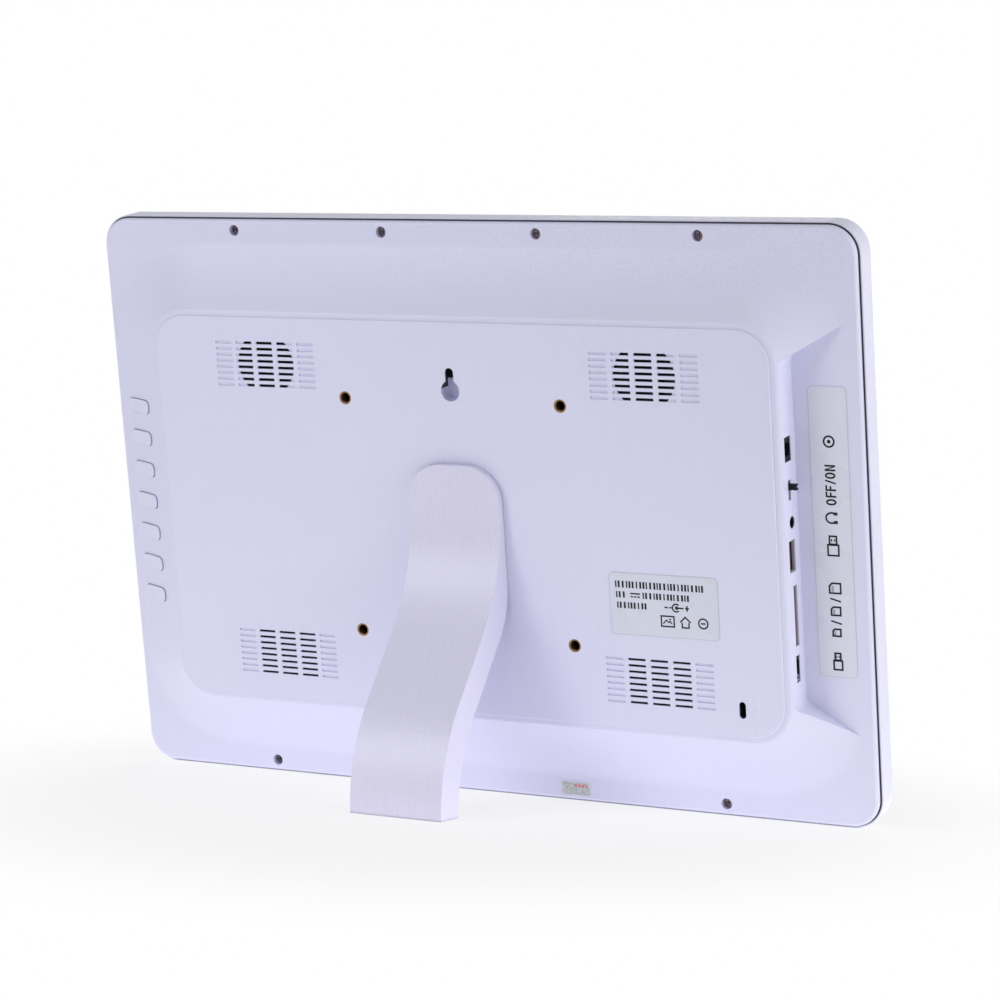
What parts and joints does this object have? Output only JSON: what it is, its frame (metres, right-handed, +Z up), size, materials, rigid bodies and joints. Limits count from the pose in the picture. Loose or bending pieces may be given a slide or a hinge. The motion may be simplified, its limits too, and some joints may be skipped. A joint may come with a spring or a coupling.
{
  "type": "digital photo frame",
  "caption": "Wide free-standing display frame in white plastic, leaning back on a single curved leg, with keys, side ports, grilles and wall-mount inserts on its back.",
  "frame": {"origin": "middle of the footprint on the surface that the frame stands on", "axes": "+Z up, +X across the width towards the key side, -Y the way the screen faces; the screen leans back 11 degrees"},
  "size_m": [0.35, 0.101, 0.2434],
  "materials": {
    "bezel_plastic": "smooth glossy white moulding with a cool lavender cast",
    "cover_plastic": "satin white moulding, finely brushed on the raised panel",
    "leg_plastic": "satin white moulding with fine lengthways brushing",
    "button_plastic": "satin white moulding",
    "black_plastic": "black moulded plastic",
    "screen": "dark glossy display cell",
    "light_guide": "clear acrylic plate with white film",
    "steel": "bright plated steel",
    "brass": "turned brass",
    "circuit_board": "green solder mask",
    "cone_paper": "black speaker cone",
    "label": "silver-grey printed film",
    "ribbon": "flat flexible cable",
    "lead_sleeve": "thin insulated lead"
  },
  "bodies": {
    "housing": {"front_bezel": "bezel_plastic", "rear_cover": "cover_plastic", "screen_glass": "screen", "light_guide": "light_guide", "backlight_tray": "steel", "screen_straps": "steel", "strap_screws": "steel", "main_board": "circuit_board", "board_chips": "black_plastic", "board_screws": "steel", "power_inlet": "black_plastic", "switch_housing": "steel", "headphone_jack": "black_plastic", "usb_socket": "steel", "card_socket": "steel", "small_usb_socket": "steel", "key_board": "circuit_board", "key_switches": "black_plastic", "speaker_left": "black_plastic", "speaker_right": "black_plastic", "speaker_cones": "cone_paper", "vesa_inserts": "brass", "case_screws": "steel", "lock_plate": "steel", "rating_label": "label", "port_label": "label", "seal_sticker": "label", "display_ribbon": "ribbon", "key_ribbon": "ribbon", "speaker_leads": "lead_sleeve"},
    "leg": {"support_leg": "leg_plastic"},
    "switch": {"switch_knob": "black_plastic"},
    "key_1": {"button_1": "button_plastic"},
    "key_2": {"button_2": "button_plastic"},
    "key_3": {"button_3": "button_plastic"},
    "key_4": {"button_4": "button_plastic"},
    "key_5": {"button_5": "button_plastic"},
    "key_6": {"button_6": "button_plastic"},
    "key_7": {"button_7": "button_plastic"}
  },
  "joints": [
    {"name": "leg_slide", "type": "slide", "parent": "housing", "child": "leg", "axis": [0, -0.1908, -0.9816], "range_m": [0, 0.008]},
    {"name": "switch_slide", "type": "slide", "parent": "housing", "child": "switch", "axis": [0, -0.1908, -0.9816], "range_m": [0, 0.0028]},
    {"name": "button_1_press", "type": "slide", "parent": "housing", "child": "key_1", "axis": [0, -0.9816, 0.1908], "range_m": [0, 0.0005], "stiffness_N_per_m": 300},
    {"name": "button_2_press", "type": "slide", "parent": "housing", "child": "key_2", "axis": [0, -0.9816, 0.1908], "range_m": [0, 0.0005], "stiffness_N_per_m": 300},
    {"name": "button_3_press", "type": "slide", "parent": "housing", "child": "key_3", "axis": [0, -0.9816, 0.1908], "range_m": [0, 0.0005], "stiffness_N_per_m": 300},
    {"name": "button_4_press", "type": "slide", "parent": "housing", "child": "key_4", "axis": [0, -0.9816, 0.1908], "range_m": [0, 0.0005], "stiffness_N_per_m": 300},
    {"name": "button_5_press", "type": "slide", "parent": "housing", "child": "key_5", "axis": [0, -0.9816, 0.1908], "range_m": [0, 0.0005], "stiffness_N_per_m": 300},
    {"name": "button_6_press", "type": "slide", "parent": "housing", "child": "key_6", "axis": [0, -0.9816, 0.1908], "range_m": [0, 0.0005], "stiffness_N_per_m": 300},
    {"name": "button_7_press", "type": "slide", "parent": "housing", "child": "key_7", "axis": [0, -0.9816, 0.1908], "range_m": [0, 0.0005], "stiffness_N_per_m": 300}
  ]
}
